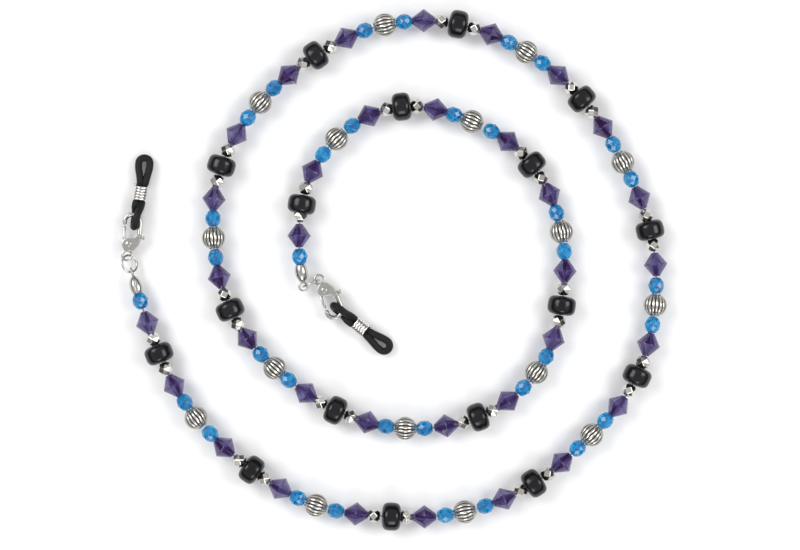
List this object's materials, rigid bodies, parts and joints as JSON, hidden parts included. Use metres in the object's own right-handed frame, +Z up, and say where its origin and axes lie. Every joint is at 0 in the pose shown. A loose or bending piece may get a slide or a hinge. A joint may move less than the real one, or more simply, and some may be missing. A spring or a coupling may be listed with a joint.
{
  "type": "eyeglass retainer strap",
  "caption": "Beaded eyeglass retainer strap laid in a loose spiral, with a bead tip, jump ring, lobster clasp and gripping rubber temple loop at each end.",
  "frame": {"origin": "centre of the laid-out strap on the surface it lies on", "axes": "+X along the longest side of the spiral, +Y across it, +Z up from the surface"},
  "size_m": [0.1397, 0.1333, 0.0072],
  "materials": {
    "blue_glass": "faceted transparent glass",
    "purple_glass": "faceted translucent glass",
    "mirror_silver": "mirror-coated faceted glass",
    "black_glass": "polished black glass",
    "antique_silver": "antiqued silver plate, dark in the grooves",
    "coated_wire": "nylon-coated beading wire",
    "fitting_silver": "bright silver plate",
    "spring_steel": "drawn spring wire",
    "coil_silver": "bright plated wire",
    "black_rubber": "matte moulded rubber"
  },
  "bodies": {
    "strand_1": {"strand_1_beading_wire": "coated_wire", "strand_1_black_rondelles": "black_glass", "strand_1_blue_glass_beads": "blue_glass", "strand_1_corrugated_silver_beads": "antique_silver", "strand_1_purple_bicones": "purple_glass", "strand_1_silver_bicones": "mirror_silver", "outer_crimp_bead": "fitting_silver"},
    "strand_2": {"strand_2_beading_wire": "coated_wire", "strand_2_black_rondelles": "black_glass", "strand_2_blue_glass_beads": "blue_glass", "strand_2_corrugated_silver_beads": "antique_silver", "strand_2_purple_bicones": "purple_glass", "strand_2_silver_bicones": "mirror_silver"},
    "strand_3": {"strand_3_beading_wire": "coated_wire", "strand_3_black_rondelles": "black_glass", "strand_3_blue_glass_beads": "blue_glass", "strand_3_corrugated_silver_beads": "antique_silver", "strand_3_purple_bicones": "purple_glass", "strand_3_silver_bicones": "mirror_silver"},
    "strand_4": {"strand_4_beading_wire": "coated_wire", "strand_4_black_rondelles": "black_glass", "strand_4_blue_glass_beads": "blue_glass", "strand_4_corrugated_silver_beads": "antique_silver", "strand_4_purple_bicones": "purple_glass", "strand_4_silver_bicones": "mirror_silver"},
    "strand_5": {"strand_5_beading_wire": "coated_wire", "strand_5_black_rondelles": "black_glass", "strand_5_blue_glass_beads": "blue_glass", "strand_5_corrugated_silver_beads": "antique_silver", "strand_5_purple_bicones": "purple_glass", "strand_5_silver_bicones": "mirror_silver"},
    "strand_6": {"strand_6_beading_wire": "coated_wire", "strand_6_black_rondelles": "black_glass", "strand_6_blue_glass_beads": "blue_glass", "strand_6_corrugated_silver_beads": "antique_silver", "strand_6_purple_bicones": "purple_glass", "strand_6_silver_bicones": "mirror_silver"},
    "strand_7": {"strand_7_beading_wire": "coated_wire", "strand_7_black_rondelles": "black_glass", "strand_7_blue_glass_beads": "blue_glass", "strand_7_corrugated_silver_beads": "antique_silver", "strand_7_purple_bicones": "purple_glass", "strand_7_silver_bicones": "mirror_silver", "inner_crimp_bead": "fitting_silver"},
    "outer_bead_tip": {"outer_bead_tip": "fitting_silver"},
    "outer_jump_ring": {"outer_jump_ring": "fitting_silver"},
    "outer_clasp": {"outer_clasp_body": "fitting_silver", "outer_clasp_rivet": "fitting_silver", "outer_clasp_spring": "spring_steel"},
    "outer_clasp_lever": {"outer_clasp_lever": "fitting_silver"},
    "outer_rubber_loop": {"outer_rubber_loop": "black_rubber"},
    "outer_grip_coil": {"outer_grip_coil": "coil_silver"},
    "inner_bead_tip": {"inner_bead_tip": "fitting_silver"},
    "inner_jump_ring": {"inner_jump_ring": "fitting_silver"},
    "inner_clasp": {"inner_clasp_body": "fitting_silver", "inner_clasp_rivet": "fitting_silver", "inner_clasp_spring": "spring_steel"},
    "inner_clasp_lever": {"inner_clasp_lever": "fitting_silver"},
    "inner_rubber_loop": {"inner_rubber_loop": "black_rubber"},
    "inner_grip_coil": {"inner_grip_coil": "coil_silver"}
  },
  "joints": [
    {"name": "strand_4_bend", "type": "hinge", "parent": "strand_5", "child": "strand_4", "pos_m": [0.0525, -0.03997, 0.0036], "axis": [0, 0, 1], "range_deg": [0, 25]},
    {"name": "strand_3_bend", "type": "hinge", "parent": "strand_4", "child": "strand_3", "pos_m": [0.02106, -0.06098, 0.0036], "axis": [0, 0, 1], "range_deg": [0, 25]},
    {"name": "strand_2_bend", "type": "hinge", "parent": "strand_3", "child": "strand_2", "pos_m": [-0.01696, -0.06104, 0.0036], "axis": [0, 0, 1], "range_deg": [0, 25]},
    {"name": "strand_1_bend", "type": "hinge", "parent": "strand_2", "child": "strand_1", "pos_m": [-0.04858, -0.04011, 0.0036], "axis": [0, 0, 1], "range_deg": [0, 25]},
    {"name": "strand_6_bend", "type": "hinge", "parent": "strand_5", "child": "strand_6", "pos_m": [0.02279, 0.0367, 0.0036], "axis": [0, 0, 1], "range_deg": [-4, 12]},
    {"name": "strand_7_bend", "type": "hinge", "parent": "strand_6", "child": "strand_7", "pos_m": [-0.01265, 0.03561, 0.0036], "axis": [0, 0, 1], "range_deg": [-5, 12]},
    {"name": "outer_tip_swing", "type": "hinge", "parent": "strand_1", "child": "outer_bead_tip", "pos_m": [-0.0654, -0.00603, 0.0036], "axis": [0, 0, 1], "range_deg": [-6, 12]},
    {"name": "outer_ring_swing", "type": "hinge", "parent": "outer_bead_tip", "child": "outer_jump_ring", "pos_m": [-0.06701, -0.00042, 0.0032], "axis": [0, 0, 1], "range_deg": [-8, 35]},
    {"name": "outer_clasp_swing", "type": "hinge", "parent": "outer_jump_ring", "child": "outer_clasp", "pos_m": [-0.0683, 0.00378, 0.00291], "axis": [0, 0, 1], "range_deg": [-8, 35]},
    {"name": "outer_gate_open", "type": "hinge", "parent": "outer_clasp", "child": "outer_clasp_lever", "pos_m": [-0.06786, 0.00675, 0.00291], "axis": [0, 0, -1], "range_deg": [0, 16], "stiffness_Nm_per_rad": 0.01, "springref_deg": -17.19},
    {"name": "outer_rubber_swing", "type": "hinge", "parent": "outer_clasp", "child": "outer_rubber_loop", "pos_m": [-0.06645, 0.01162, 0.00291], "axis": [0, 0, 1], "range_deg": [-6, 20]},
    {"name": "outer_coil_slide", "type": "slide", "parent": "outer_rubber_loop", "child": "outer_grip_coil", "axis": [0.1908, 0.9816, 0], "range_m": [0, 0.0008]},
    {"name": "inner_tip_swing", "type": "hinge", "parent": "strand_7", "child": "inner_bead_tip", "pos_m": [-0.02401, 0.00161, 0.0036], "axis": [0, 0, 1], "range_deg": [-8, 8]},
    {"name": "inner_ring_swing", "type": "hinge", "parent": "inner_bead_tip", "child": "inner_jump_ring", "pos_m": [-0.0232, -0.00417, 0.0032], "axis": [0, 0, 1], "range_deg": [-9, 20]},
    {"name": "inner_clasp_swing", "type": "hinge", "parent": "inner_jump_ring", "child": "inner_clasp", "pos_m": [-0.01917, -0.00242, 0.00291], "axis": [0, 0, 1], "range_deg": [-9, 20]},
    {"name": "inner_gate_open", "type": "hinge", "parent": "inner_clasp", "child": "inner_clasp_lever", "pos_m": [-0.01789, -0.00513, 0.00291], "axis": [0, 0, 1], "range_deg": [0, 16], "stiffness_Nm_per_rad": 0.01, "springref_deg": -17.19},
    {"name": "inner_rubber_swing", "type": "hinge", "parent": "inner_clasp", "child": "inner_rubber_loop", "pos_m": [-0.01511, -0.00938, 0.00291], "axis": [0, 0, 1], "range_deg": [-6, 15]},
    {"name": "inner_coil_slide", "type": "slide", "parent": "inner_rubber_loop", "child": "inner_grip_coil", "axis": [0.7771, -0.6293, 0], "range_m": [0, 0.0008]}
  ]
}
